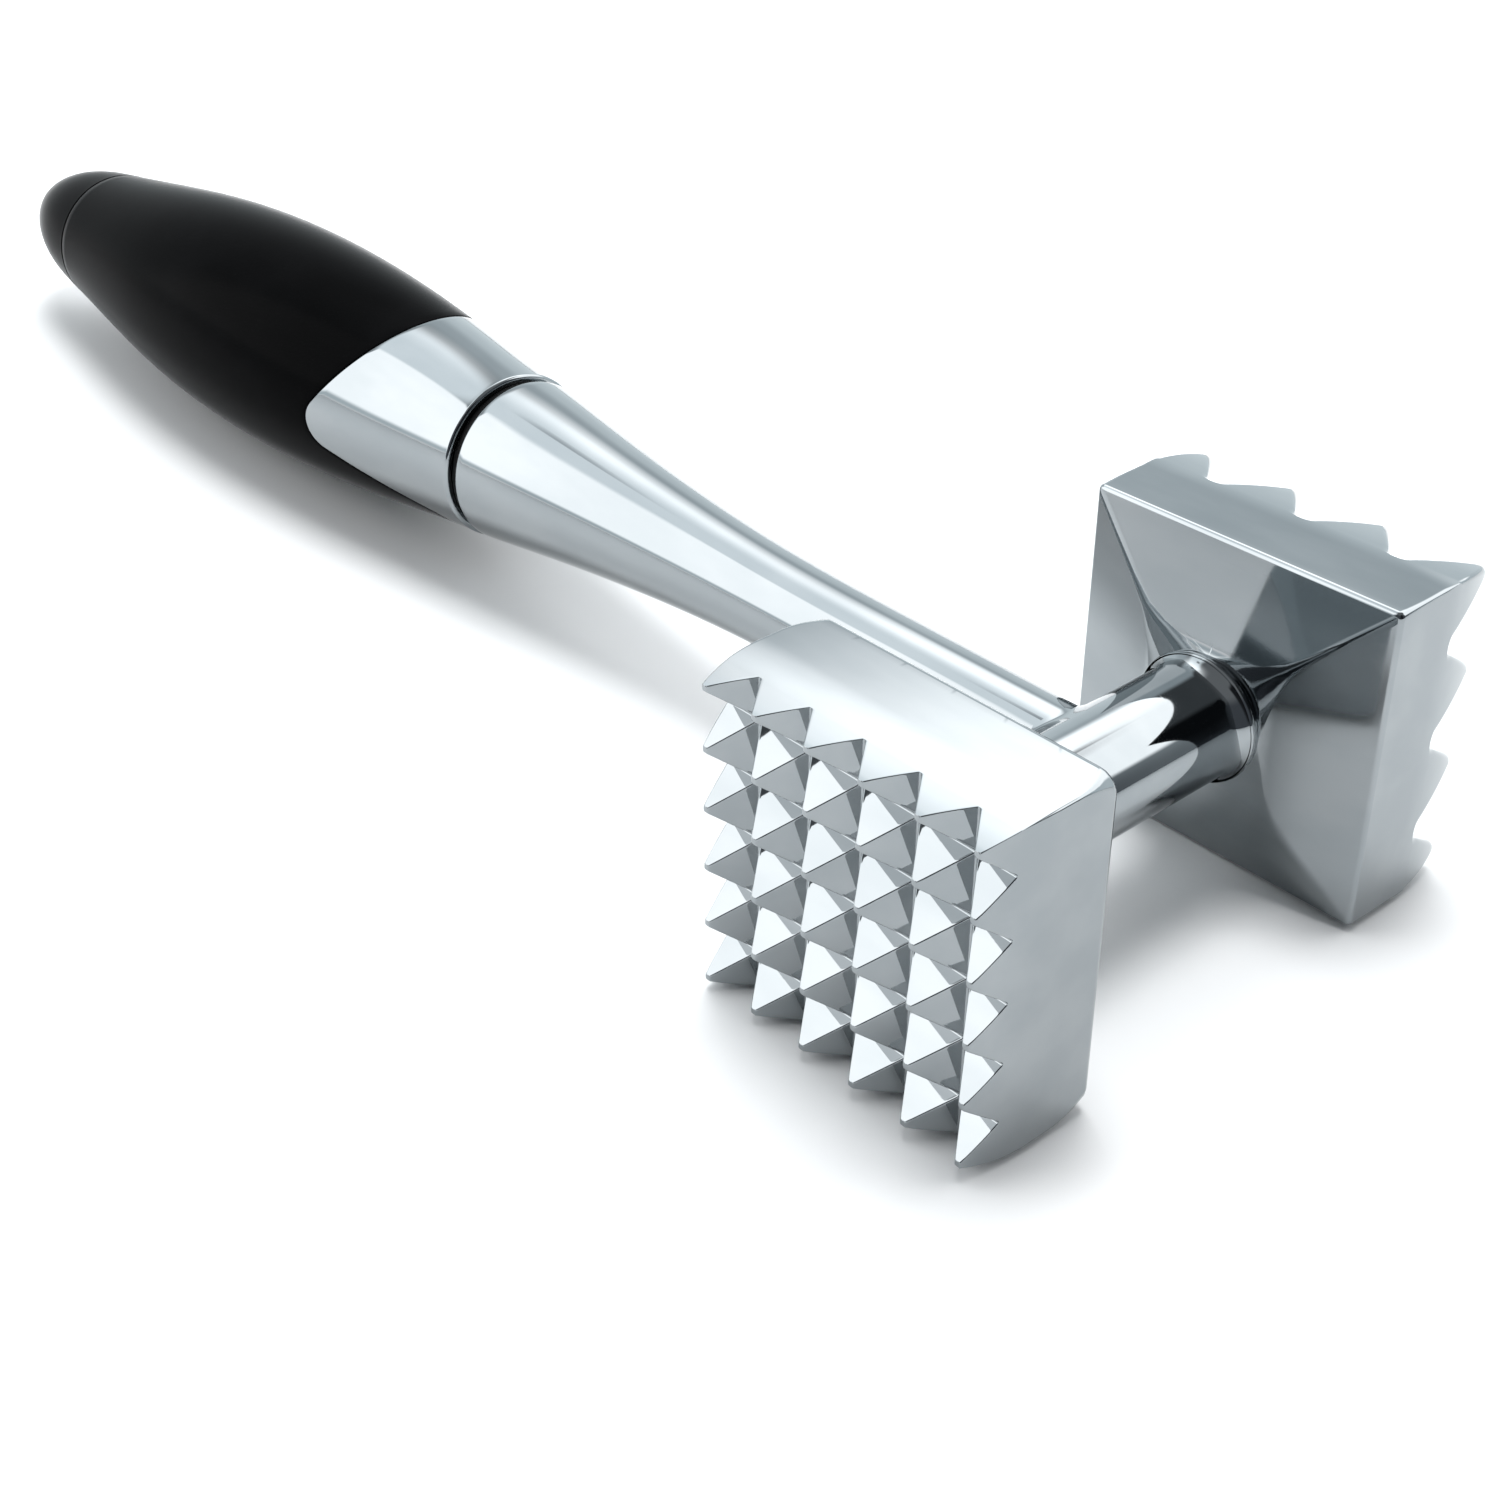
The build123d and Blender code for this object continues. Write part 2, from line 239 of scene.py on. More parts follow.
class Graph:
    """A node tree under construction."""

    def __init__(self, tree):
        self.tree = tree
        tree.nodes.clear()

    def node(self, kind, settings=None, inputs=None, output=0):
        """Adds a node of any type with its settings and inputs; returns one of its outputs."""
        made = self.tree.nodes.new(kind)
        for name, value in (settings or {}).items():
            setattr(made, name, value)
        for name, value in (inputs or {}).items():
            if isinstance(value, Value):
                self.tree.links.new(value.socket, made.inputs[name])
            else:
                made.inputs[name].default_value = value
        return Value(self, made.outputs[output]) if len(made.outputs) else made

    def math(self, operation, *operands):
        return self.node("ShaderNodeMath", {"operation": operation}, dict(enumerate(operands)))

    def parts(self, vector):
        """The x, y and z of a vector."""
        split = self.node("ShaderNodeSeparateXYZ", None, {0: vector}).socket.node
        return [Value(self, socket) for socket in split.outputs]

    def mix(self, factor, first, second):
        """A colour between two colours."""
        inputs = {0: factor, 6: first, 7: second}
        return self.node("ShaderNodeMix", {"data_type": "RGBA"}, inputs, output=2)

    def place(self, stretch=(1, 1, 1)):
        """Object coordinates, stretched where a mark runs one way."""
        coordinates = self.node("ShaderNodeTexCoord", output="Object")
        return self.node("ShaderNodeMapping", None, {"Vector": coordinates, "Scale": stretch})

    def noise(self, size, detail, stretch=(1, 1, 1), roughness=0.5):
        """Noise whose blotches are about `size` millimetres across."""
        inputs = {"Vector": self.place(stretch), "Scale": 1 / (size * MM)}
        inputs.update({"Detail": detail, "Roughness": roughness})
        return self.node("ShaderNodeTexNoise", None, inputs)

    def bump(self, height, distance):
        """Normal bent by a height of up to `distance` millimetres."""
        inputs = {"Height": height, "Distance": distance * MM}
        return self.node("ShaderNodeBump", None, inputs)


def material(name, finish):
    """Material whose Principled inputs come from finish(graph)."""
    made = bpy.data.materials.new(name)
    made.use_nodes = True
    g = Graph(made.node_tree)
    shader = g.node("ShaderNodeBsdfPrincipled", None, finish(g))
    g.node("ShaderNodeOutputMaterial", None, {"Surface": shader})
    return made


print("shader tools ready")

# %% [markdown]
# ## Finishes
#
# The head and the handle are bright chrome over a casting and over turned steel. Chrome is a cool,
# slightly dark mirror. Here it gives back about a third of the light, so that a pale wall looks
# silver in it and only the brightest windows look white. What makes it real is the ripple that
# polishing leaves over a few centimetres, the faint haze of wiping, and hairline marks. The cast
# blocks ripple more than the turned neck, stem and ferrule.

# %% Chrome
ALONG_GRIP = (0.35, 1, 1)      # stretches marks along the handle
ALONG_POLISH = (0.04, 1, 1.6)  # hairlines that the polishing mop leaves
DEEP_CHROME = (0.277, 0.300, 0.313, 1)
WIPED_CHROME = (0.310, 0.331, 0.343, 1)


def chrome(ripple_size, ripple_height, haze):
    """Chrome whose polishing ripple has a width and height in millimetres."""

    def finish(g):
        wiping = g.noise(9, 3, ALONG_GRIP)
        marks = g.noise(0.5, 2, ALONG_POLISH).smooth(0.62, 0.8)
        ripple = g.noise(ripple_size, 1.0) * ripple_height + marks * 0.0004
        return {
            "Base Color": g.mix(wiping.smooth(0.35, 0.7), DEEP_CHROME, WIPED_CHROME),
            "Metallic": 1.0,
            "Roughness": 0.035 + wiping.smooth(0.4, 0.75) * haze + marks * 0.03,
            "Normal": g.bump(ripple, 1.0),
        }

    return finish


cast_chrome = material("cast_chrome", chrome(17, 0.035, 0.03))
turned_chrome = material("turned_chrome", chrome(30, 0.02, 0.02))
print("chromes:", cast_chrome.name, turned_chrome.name)


# %% [markdown]
# The grip is a soft black plastic over a hard core. It drinks light, with only a narrow sheen near
# its outline, and the fine spark-eroded grain of its mould breaks that sheen up. The end cap comes
# from another mould with a smoother face. The seal ring is plain black rubber.

# %% Black plastic and rubber
FRESH_BLACK = (0.0020, 0.0021, 0.0023, 1)
WORN_BLACK = (0.0036, 0.0037, 0.0041, 1)


def black(grain, roughness, specular, sheen):
    """Black moulding with a grain of a given height in millimetres."""

    def finish(g):
        pits = g.noise(0.35, 3, roughness=0.6)
        wear = g.noise(22, 4).smooth(0.45, 0.8)
        return {
            "Base Color": g.mix(wear, FRESH_BLACK, WORN_BLACK),
            "Roughness": roughness + wear * 0.06 + pits * 0.05,
            "Specular IOR Level": specular,
            "Sheen Weight": sheen,
            "Sheen Roughness": 0.25,
            "Normal": g.bump(pits, grain),
        }

    return finish


sleeve_black = material("sleeve_black", black(0.01, 0.14, 0.005, 0.2))
cap_black = material("cap_black", black(0.008, 0.14, 0.005, 0.2))
ring_rubber = material("ring_rubber", black(0.03, 0.5, 0.1, 0.0))
print("blacks:", sleeve_black.name, cap_black.name, ring_rubber.name)


# %% [markdown]
# The pieces that nobody sees keep their CAD shapes: the stud through the neck, the threaded rod,
# its washer and nut, and the plastic core. Zinc plating is a duller, warmer metal than chrome,
# with crystals that scatter the light. The core is grey regrind with flow streaks along the grip.

# %% Plated steel and the plastic core
DULL_ZINC = (0.50, 0.49, 0.46, 1)
CLEAN_ZINC = (0.66, 0.65, 0.61, 1)
DARK_REGRIND = (0.045, 0.047, 0.050, 1)
PALE_REGRIND = (0.090, 0.093, 0.097, 1)
ALONG_FLOW = (0.12, 1, 1)


def plated(g):
    crystals = g.noise(0.8, 4)
    return {
        "Base Color": g.mix(crystals.smooth(0.3, 0.7), DULL_ZINC, CLEAN_ZINC),
        "Metallic": 1.0,
        "Roughness": 0.28 + crystals * 0.15,
        "Normal": g.bump(crystals, 0.01),
    }


def regrind(g):
    streaks = g.noise(3, 4, ALONG_FLOW)
    return {
        "Base Color": g.mix(streaks.smooth(0.3, 0.75), DARK_REGRIND, PALE_REGRIND),
        "Roughness": 0.45 + streaks * 0.15,
        "Normal": g.bump(streaks, 0.02),
    }


zinc_plate = material("zinc_plate", plated)
grey_regrind = material("grey_regrind", regrind)
print("finishes:", [m.name for m in bpy.data.materials])

# %% [markdown]
# ## Tooth blocks
#
# Each block is a square casting with a shallow pyramid for a back, straight sides, and a crowned
# stretch where the sides curve in towards the teeth. The teeth are what crossing V-grooves leave
# standing. Cutting the grooves with booleans would follow the making, but its slivers spoil a
# mirror finish. Every tooth is also a stack of rounded squares, and all teeth but the outer ones
# are alike, so one tooth is skinned once and Geometry Nodes repeat it over a grid. The same tree
# then stretches the outer sides of the border teeth until they lie on the crown.

# %% Sizes of the blocks
BACK_EDGE = 24.4           # where the sloping back meets the sides, from the head's centre
BOSS_RADIUS = 8.5          # round boss that the neck's lip covers
BOSS_LENGTH = 0.3
SEAT_RADIUS = 8.8          # half width where the slope of the back begins
SLOPE_START = SEAT + 0.6
SQUARING = ((0.03, 5.5), (0.1, 2.6), (0.2, 1.4), (0.4, 0.9), (0.7, 0.8))  # (way out, corner radius)
CREASE = 0.7               # corner radius that the back's creases come to
CORNER_RUN = 5.5           # length over which the back corners sharpen into the long edges
EDGE_ROUND = 0.35          # corner radius of the long edges
HOLD = 0.9                 # share of a tooth's side that keeps flat shading
BLUNT = 0.9                # share of a tip's half width that its corner radius may take
CROWN_LENGTH = 10.5        # stretch over which the sides curve in
CROWN_DROP = 1.4
CROWN_RINGS = 15
CROWN_EASE = 1.7           # gathers the crown's rings towards the teeth
TIP_HALF = HALF_FACE - CROWN_DROP
CROWN_START = HALF_HEAD - CROWN_LENGTH
CROWN_RADIUS = (CROWN_LENGTH**2 + CROWN_DROP**2) / (2 * CROWN_DROP)
FINE = {
    "grooves": 5, "depth": 4.7, "tip": 0.8, "valley": 0.3, "round": 0.14,
    "back": 1.2, "corner": 2.4,
}
COARSE = {
    "grooves": 3, "depth": 8.0, "tip": 1.7, "valley": 1.3, "round": 0.95,
    "back": 0.7, "corner": 0.7,
}
print(f"crown radius {CROWN_RADIUS:.1f} mm, outer tips {TIP_HALF:.2f} mm from the middle")


# %% Rounded squares
def rounded_square(half, corner, cuts, steps=5):
    """Points round a square; `cuts` are places along a side as shares of its straight stretch."""
    flat = half - corner
    points = []
    for quarter in range(4):
        turn = Matrix.Rotation(quarter * math.pi / 2, 2)
        side = [(half, share * flat) for share in cuts]
        bend = arc((flat, flat), corner, 0, 90, steps)
        points += [tuple(turn @ Vector(p)) for p in side + bend]
    return points


def tooth_cuts(count, pitch, last_half):
    """Places along a side where the teeth have vertices: their borders and their hold points."""
    outer = (count - 1) / 2 * pitch
    places = []
    for i in range(count):
        centre = i * pitch - outer
        below = last_half - outer if i == 0 else pitch / 2
        above = last_half - outer if i == count - 1 else pitch / 2
        places += [centre - HOLD * below, centre + HOLD * above]
        places += [centre + pitch / 2] if i < count - 1 else []
    return places


def crown_half(y):
    """Half width of a block at a distance from the head's centre."""
    past = max(y - CROWN_START, 0)
    return HALF_FACE - CROWN_RADIUS + math.sqrt(CROWN_RADIUS**2 - past**2)


# %% [markdown]
# The body of a block runs from the round boss at the neck to the bottom of the grooves. Its first
# rings are round and turn square by degrees, which gives the four soft creases of the back. Its
# sides carry the same vertices as the teeth's feet, so that the two weld without a gap.

# %% Body of a block
def block_body(name, size):
    """Block up to the bottom of its grooves, teeth towards +Y, open where the teeth go."""
    pitch = (2 * TIP_HALF - size["tip"]) / size["grooves"]
    bottom = HALF_HEAD - size["depth"]
    last_half = crown_half(bottom)
    cuts = [share / last_half for share in tooth_cuts(size["grooves"] + 1, pitch, last_half)]
    back_slope = math.atan2(HALF_FACE - SEAT_RADIUS, BACK_EDGE - SLOPE_START)
    back_round, back_corner = size["back"], size["corner"]
    reach = back_round * math.tan(back_slope / 2)
    middle = (HALF_FACE - back_round, BACK_EDGE + reach)
    edge = arc(middle, back_round, -math.degrees(back_slope), 0, 8)
    (edge_half, edge_start), (_, edge_end) = edge[0], edge[-1]
    stations = [(y, BOSS_RADIUS, BOSS_RADIUS) for y in (SEAT, SEAT + BOSS_LENGTH)]
    for share, corner in SQUARING:
        y = SLOPE_START + share * (edge_start - SLOPE_START)
        half = SEAT_RADIUS + share * (edge_half - SEAT_RADIUS)
        stations.append((y, half, corner + (back_corner - CREASE) * share**2))
    stations += [(y, half, back_corner) for half, y in edge]
    for y in np.linspace(edge_end, CROWN_START, 9)[1:-1]:
        fade = max(0.0, 1 - (y - edge_end) / CORNER_RUN)
        stations.append((y, HALF_FACE, EDGE_ROUND + (back_corner - EDGE_ROUND) * fade**2))
    for t in np.linspace(0, 1, CROWN_RINGS):
        fade = (1 - t)**CROWN_EASE
        y = bottom - (bottom - CROWN_START) * fade
        stations.append((y, crown_half(y), EDGE_ROUND * fade))
    bm = bmesh.new()
    rings = []
    for y, half, corner in stations:
        outline = rounded_square(half, corner, cuts)
        rings.append([bm.verts.new((x, y, z)) for x, z in outline])
    skin(bm, rings)
    bm.faces.new(rings[0])
    return made_piece(bm, name), pitch


# %% [markdown]
# One tooth is a pyramid with a rounded valley round its foot, straight flanks and a blunt tip. An
# attribute keeps each point's place as a share of the tooth's half width, and the tree reads that
# share to know how far to stretch a border tooth.

# %% One tooth
def tooth_rings(size, pitch):
    """(height, half width, corner radius, reference half width) of a tooth's rings."""
    depth, round_off = size["depth"], size["round"]
    foot, tip = pitch / 2, size["tip"] / 2
    run = foot - size["valley"] / 2 - tip
    slope = math.atan2(depth, run)
    valley = size["valley"] / 2 / math.tan(slope / 2)
    rings = []

    def half_at(height):
        return foot - size["valley"] / 2 - height / math.tan(slope)

    for t in np.linspace(0, slope, 6):
        half = foot - valley * math.sin(t)
        rings.append((valley * (1 - math.cos(t)), half, round_off * t / slope, half))
    shoulder = round_off * (1 - math.cos(slope))
    low, high = rings[-1][0], depth - shoulder
    for height in np.linspace(low, high, 8)[1:]:
        half = half_at(height)
        rings.append((height, half, min(round_off, BLUNT * half), half))
    edge = half_at(high) - round_off * math.sin(slope)
    for t in np.linspace(slope, 0, 6)[1:]:
        height = depth - round_off * (1 - math.cos(t))
        half = edge + round_off * math.sin(t)
        rings.append((height, half, BLUNT * half, half_at(height)))
    return rings


def one_tooth(name, size, pitch):
    """Tooth on its own square of the grid, pointing along +Y, with its `share` attribute."""
    bm = bmesh.new()
    share = bm.verts.layers.float_vector.new("share")
    rings = []
    for height, half, corner, reference in tooth_rings(size, pitch):
        ring = []
        for x, z in rounded_square(half, corner, (-HOLD, HOLD), steps=4):
            vertex = bm.verts.new((x, height, z))
            vertex[share] = (x / reference, 0, z / reference)
            ring.append(vertex)
        rings.append(ring)
    skin(bm, rings)
    bm.faces.new(rings[-1])
    return made_piece(bm, name)


print("block tools ready")

# %% [markdown]
# The tree is built once in the script and serves both blocks. Its inputs have the names that a
# pattern maker would use, and each modifier sets them by the sockets' identifiers.

# %% The tree that repeats the tooth
class Geometry(Graph):
    """A Geometry Nodes tree under construction; values do arithmetic as in a shader."""

    def inputs(self, named):
        """Adds the tree's named inputs and returns a function that reads one of them."""
        for name, kind in named.items():
            self.tree.interface.new_socket(name, in_out="INPUT", socket_type=kind)
        self.tree.interface.new_socket("Geometry", in_out="OUTPUT", socket_type="NodeSocketGeometry")
        group = self.tree.nodes.new("NodeGroupInput")
        return lambda name: Value(self, group.outputs[name])


WELD_REACH = 0.002         # how far apart two vertices may lie and still be welded


def tooth_grid_tree():
    """Repeats a tooth over the grooves' grid and lays the border teeth on the crown."""
    tree = bpy.data.node_groups.new("tooth_grid", "GeometryNodeTree")
    g = Geometry(tree)
    read = g.inputs({
        "Body": "NodeSocketGeometry",
        "Tooth": "NodeSocketObject",
        "Teeth Per Side": "NodeSocketInt",
        "Pitch": "NodeSocketFloat",
        "Groove Bottom": "NodeSocketFloat",
        "Half Face": "NodeSocketFloat",
        "Crown Start": "NodeSocketFloat",
        "Crown Radius": "NodeSocketFloat",
        "Finish": "NodeSocketMaterial",
    })
    count, pitch = read("Teeth Per Side"), read("Pitch")
    outer = (count - 1) * pitch * 0.5
    sizes = {0: outer * 2, 1: outer * 2, 2: count, 3: count}
    grid = g.node("GeometryNodeMeshGrid", None, sizes)
    place = g.node("ShaderNodeCombineXYZ", None, {"Y": read("Groove Bottom")})
    stand = {"Geometry": grid, "Translation": place, "Rotation": (math.pi / 2, 0, 0)}
    upright = g.node("GeometryNodeTransform", None, stand)
    capture = tree.nodes.new("GeometryNodeCaptureAttribute")
    capture.capture_items.new("VECTOR", "Centre")
    tree.links.new(upright.socket, capture.inputs["Geometry"])
    position = g.node("GeometryNodeInputPosition")
    tree.links.new(position.socket, capture.inputs["Centre"])
    points = Value(g, capture.outputs["Geometry"])
    centre = g.parts(Value(g, capture.outputs["Centre"]))
    tooth = g.node("GeometryNodeObjectInfo", None, {"Object": read("Tooth")}, output="Geometry")
    teeth = g.node("GeometryNodeInstanceOnPoints", None, {"Points": points, "Instance": tooth})
    loose = g.node("GeometryNodeRealizeInstances", None, {"Geometry": teeth})
    kind = {"data_type": "FLOAT_VECTOR"}
    share = g.parts(g.node("GeometryNodeInputNamedAttribute", kind, {"Name": "share"}))
    here = g.parts(position)
    past = g.math("MAXIMUM", here[1] - read("Crown Start"), 0.0)
    radius = read("Crown Radius")
    half = read("Half Face") - radius + (radius * radius - past * past) ** 0.5
    moved = []
    for i in (0, 2):
        away = g.math("ABSOLUTE", centre[i])
        border = g.math("GREATER_THAN", away, outer - pitch * 0.5)
        outward = g.math("GREATER_THAN", share[i] * centre[i], 0.0)
        shift = centre[i] + share[i] * (half - away) - here[i]
        moved.append(here[i] + shift * border * outward)
    fitted = g.node("ShaderNodeCombineXYZ", None, {"X": moved[0], "Y": here[1], "Z": moved[1]})
    laid = g.node("GeometryNodeSetPosition", None, {"Geometry": loose, "Position": fitted})
    join = tree.nodes.new("GeometryNodeJoinGeometry")
    for part in (laid, read("Body")):
        tree.links.new(part.socket, join.inputs[0])
    weld = {"Geometry": Value(g, join.outputs[0]), "Distance": WELD_REACH * MM}
    whole = g.node("GeometryNodeMergeByDistance", None, weld)
    real = g.node("GeometryNodeRealizeInstances", None, {"Geometry": whole})
    done = g.node("GeometryNodeSetMaterial", None, {"Geometry": real, "Material": read("Finish")})
    output = tree.nodes.new("NodeGroupOutput")
    tree.links.new(done.socket, output.inputs["Geometry"])
    return tree


tooth_grid = tooth_grid_tree()
print("tooth_grid tree:", len(tooth_grid.nodes), "nodes")


# %% Setting a tree's inputs and keeping its result
def run_tree(piece, tree, values):
    """Runs a tree on a piece with named input values and keeps the result as a plain mesh."""
    modifier = piece.modifiers.new(tree.name, "NODES")
    modifier.node_group = tree
    for socket in tree.interface.items_tree:
        if socket.in_out == "INPUT" and socket.name in values:
            modifier[socket.identifier] = values[socket.name]
    bpy.context.view_layer.update()
    evaluated = piece.evaluated_get(bpy.context.evaluated_depsgraph_get())
    made = bpy.data.meshes.new_from_object(evaluated)
    piece.modifiers.remove(modifier)
    piece.data = made
    return piece


def even_shading(piece):
    """Lets large flat faces set the normals, so that they stay flat beside narrow roundings."""
    modifier = piece.modifiers.new("even_shading", "WEIGHTED_NORMAL")
    modifier.keep_sharp = True
    modifier.weight = 80


def tooth_block(name, size, side):
    """Whole block on one side of the neck, +1 or -1."""
    body, pitch = block_body(name, size)
    tooth = one_tooth(name + "_tooth", size, pitch)
    run_tree(body, tooth_grid, {
        "Tooth": tooth,
        "Teeth Per Side": size["grooves"] + 1,
        "Pitch": pitch * MM,
        "Groove Bottom": (HALF_HEAD - size["depth"]) * MM,
        "Half Face": HALF_FACE * MM,
        "Crown Start": CROWN_START * MM,
        "Crown Radius": CROWN_RADIUS * MM,
        "Finish": cast_chrome,
    })
    bpy.data.objects.remove(tooth)
    bm = bmesh.new()
    bm.from_mesh(body.data)
    half_turn = 0 if side > 0 else math.pi
    bm.transform(Matrix.Translation(Vector(CENTRE) * MM) @ Matrix.Rotation(half_turn, 4, "Z"))
    bmesh.ops.recalc_face_normals(bm, faces=bm.faces)
    if bm.calc_volume(signed=True) < 0:
        bmesh.ops.reverse_faces(bm, faces=bm.faces)
    mark_sharp(bm)
    loose = sum(not edge.is_manifold for edge in bm.edges)
    bm.to_mesh(body.data)
    bm.free()
    even_shading(body)
    print(f"{name}: {len(body.data.polygons)} faces, open edges {loose}")
    return body


print("tree runner ready")

# %% Both blocks
fine_block = tooth_block("fine_block", FINE, -1)
coarse_block = tooth_block("coarse_block", COARSE, 1)

# %% [markdown]
# ## Neck
#
# The neck is a turned sleeve between the two blocks. It flares at both ends into a lip that bears
# on the block's boss, and a steel stud through its bore pulls the head together. A lathe profile
# says all of this, so the neck is `turned` from arcs: no modifier is needed.

# %% Turned neck
NECK_RADIUS = 7.8
NECK_LIP = 1.0
FLARE_LENGTH = 3.0
LIP_ROUND = 0.7
STUD_HOLE = 3.1


def neck_profile():
    """Half profile from the middle to the seat, then the same mirrored."""
    flare = (FLARE_LENGTH**2 + NECK_LIP**2) / (2 * NECK_LIP)
    start = SEAT - LIP_ROUND - FLARE_LENGTH
    opening = math.degrees(math.asin(FLARE_LENGTH / flare))
    half = arc((start, NECK_RADIUS + flare), flare, -90, opening - 90, 10)
    lip = (SEAT - LIP_ROUND, NECK_RADIUS + NECK_LIP - LIP_ROUND)
    half += arc(lip, LIP_ROUND, 90 + opening, 0, 8)
    half.append((SEAT, STUD_HOLE))
    middle = [(y, NECK_RADIUS) for y in np.linspace(-start, start, 13)[1:-1]]
    return [(-y, r) for y, r in reversed(half)] + middle + half


neck = turned("neck", HEAD, neck_profile(), 160)
neck.data.materials.append(turned_chrome)

# %% [markdown]
# ## Stem
#
# The stem is turned from bar: nearly straight behind the head, then swelling in one long curve to
# the collar. Its end is cut to a saddle that fits the neck's barrel and is welded there, with the
# weld ground to a small hollow fillet. In the mesh the first rings are bent to that saddle, which
# a boolean with the neck would leave ragged.

# %% Stem with its saddle and collar
STEM_RADIUS = 6.5
STEM_STATIONS = [(36.0, 6.6), (60.0, 7.1), (80.0, 8.6), (98.0, 10.7)]
COLLAR_RADIUS = 13.0
COLLAR_EDGE = 0.7
REGISTER_RADIUS = 8.5      # boss that carries the seal ring
SADDLE_REACH = 14.0        # where the rings are flat again
SADDLE_CORE = 3.5          # radius of the innermost ring of the saddle
WELD = 0.9                 # radius of the fillet at the weld
THICKENING = 0.1 / 22      # slope of the nearly straight part


def saddle(along, radius, angle):
    """Bends a ring near the head to the barrel of the neck."""
    if along >= SADDLE_REACH:
        return along
    foot = math.sqrt(NECK_RADIUS**2 - (radius * math.sin(angle)) ** 2)
    return foot + along * (1 - foot / SADDLE_REACH)


def stem_profile():
    collar = (COLLAR_END - COLLAR_EDGE, COLLAR_RADIUS)
    swell = spline(STEM_STATIONS + [collar], (1, 0.005), (1, 0.13), 90)
    weld = [(WELD * (1 + c), STEM_RADIUS + WELD * (1 + s)) for c, s in arc((0, 0), 1, 180, 270, 6)]
    straight = [(a, STEM_RADIUS) for a in np.linspace(WELD, SADDLE_REACH, 12)[1:]]
    straight += [(a, STEM_RADIUS + THICKENING * (a - SADDLE_REACH)) for a in (20.0, 28.0)]
    edge = arc((COLLAR_END - COLLAR_EDGE, COLLAR_RADIUS - COLLAR_EDGE), COLLAR_EDGE, 82, 0, 5)
    profile = [(0, 0), (0, SADDLE_CORE)] + weld + straight + swell + edge
    profile += [(COLLAR_END, REGISTER_RADIUS), (FERRULE_START, REGISTER_RADIUS)]
    return profile + [(FERRULE_START, 0)]


stem = turned("turned_stem", HANDLE, stem_profile(), 160, saddle)
stem.data.materials.append(turned_chrome)

# %% [markdown]
# ## Seal ring
#
# A flat rubber ring sits on the stem's register and shows as a thin black line between two bright
# edges. Its rim stands a little below both neighbours and is rounded like any moulded ring.

# %% Seal ring
RING_RADIUS = 12.3
RING_EDGE = 0.35


def ring_profile():
    start, end = COLLAR_END, FERRULE_START
    rim = RING_RADIUS - RING_EDGE
    outer = arc((start + RING_EDGE, rim), RING_EDGE, 180, 90, 4)
    outer += arc((end - RING_EDGE, rim), RING_EDGE, 90, 0, 4)
    return [(start, REGISTER_RADIUS)] + outer + [(end, REGISTER_RADIUS)]


seal = turned("seal", HANDLE, ring_profile(), 128)
seal.data.materials.append(ring_rubber)

# %% [markdown]
# ## Ferrule and grip
#
# The ferrule and the grip sleeve share one flowing outside. The ferrule is cut back further under
# the handle than on top, and between the two a long rounded tongue lies along each flank. Seen
# from the side its edge is a few straight runs with round corners. That outline is laid round the
# handle, and each point of it gives one lengthwise row of the mesh: from the lip to the edge for
# the ferrule, from the edge to the end cap for the sleeve. Both edges are rolled over a fraction
# of a millimetre, so the seam reads as a fine line, as where a moulding meets metal.

# %% Outside of the grip and the tongue's outline
LIP_RADIUS = 13.4
LIP_EDGE = 0.6             # rounding of the ferrule's lip
FRONT_WALL = 3.0           # end wall of the ferrule, which the tang rod passes
WALL = 2.2
SEAM = 0.12
GRIP_STATIONS = [(140.0, 16.1), (178.0, 19.2), (212.0, 17.9), (248.0, 13.0), (266.0, 9.0)]
LIP_START = (FERRULE_START + LIP_EDGE, LIP_RADIUS)
grip_curve = spline([LIP_START] + GRIP_STATIONS + [(GRIP_END, 0.0)], (1, 0.07), (0, -1), 400)
grip_x, grip_r = np.array(grip_curve).T


def grip_radius(along):
    return float(np.interp(along, grip_x, grip_r))


def rounded_path(corners):
    """Straight runs between (x, y, radius) corners with an arc at each; dense points."""
    path = [np.array(corners[0][:2])]
    for before, (x, y, radius), after in zip(corners, corners[1:], corners[2:]):
        corner = np.array((x, y))
        back = np.array(before[:2]) - corner
        on = np.array(after[:2]) - corner
        back, on = back / np.linalg.norm(back), on / np.linalg.norm(on)
        half = math.acos(np.clip(back @ on, -1, 1)) / 2
        centre = corner + (back + on) / np.linalg.norm(back + on) * radius / math.sin(half)
        start = corner + back * radius / math.tan(half) - centre
        end = corner + on * radius / math.tan(half) - centre
        for t in np.linspace(0, 1, 25):
            ray = start * (1 - t) + end * t
            path.append(centre + ray / np.linalg.norm(ray) * radius)
    path.append(np.array(corners[-1][:2]))
    dense = []
    for a, b in zip(path, path[1:]):
        steps = max(1, int(np.linalg.norm(b - a) / 0.05))
        dense += [a + (b - a) * k / steps for k in range(steps)]
    return dense + [path[-1]]


# (station, height, corner radius) of the ferrule's edge from the top down, seen from the side
TONGUE = [
    (138.5, 30.0, 0), (138.5, 17.0, 3.0), (155.3, -2.4, 4.5), (123.5, -9.3, 5.0),
    (121.4, -12.0, 2.0), (121.4, -30.0, 0),
]


NEAR_CREST = 0.9995        # sine of the last angle before the top or bottom line


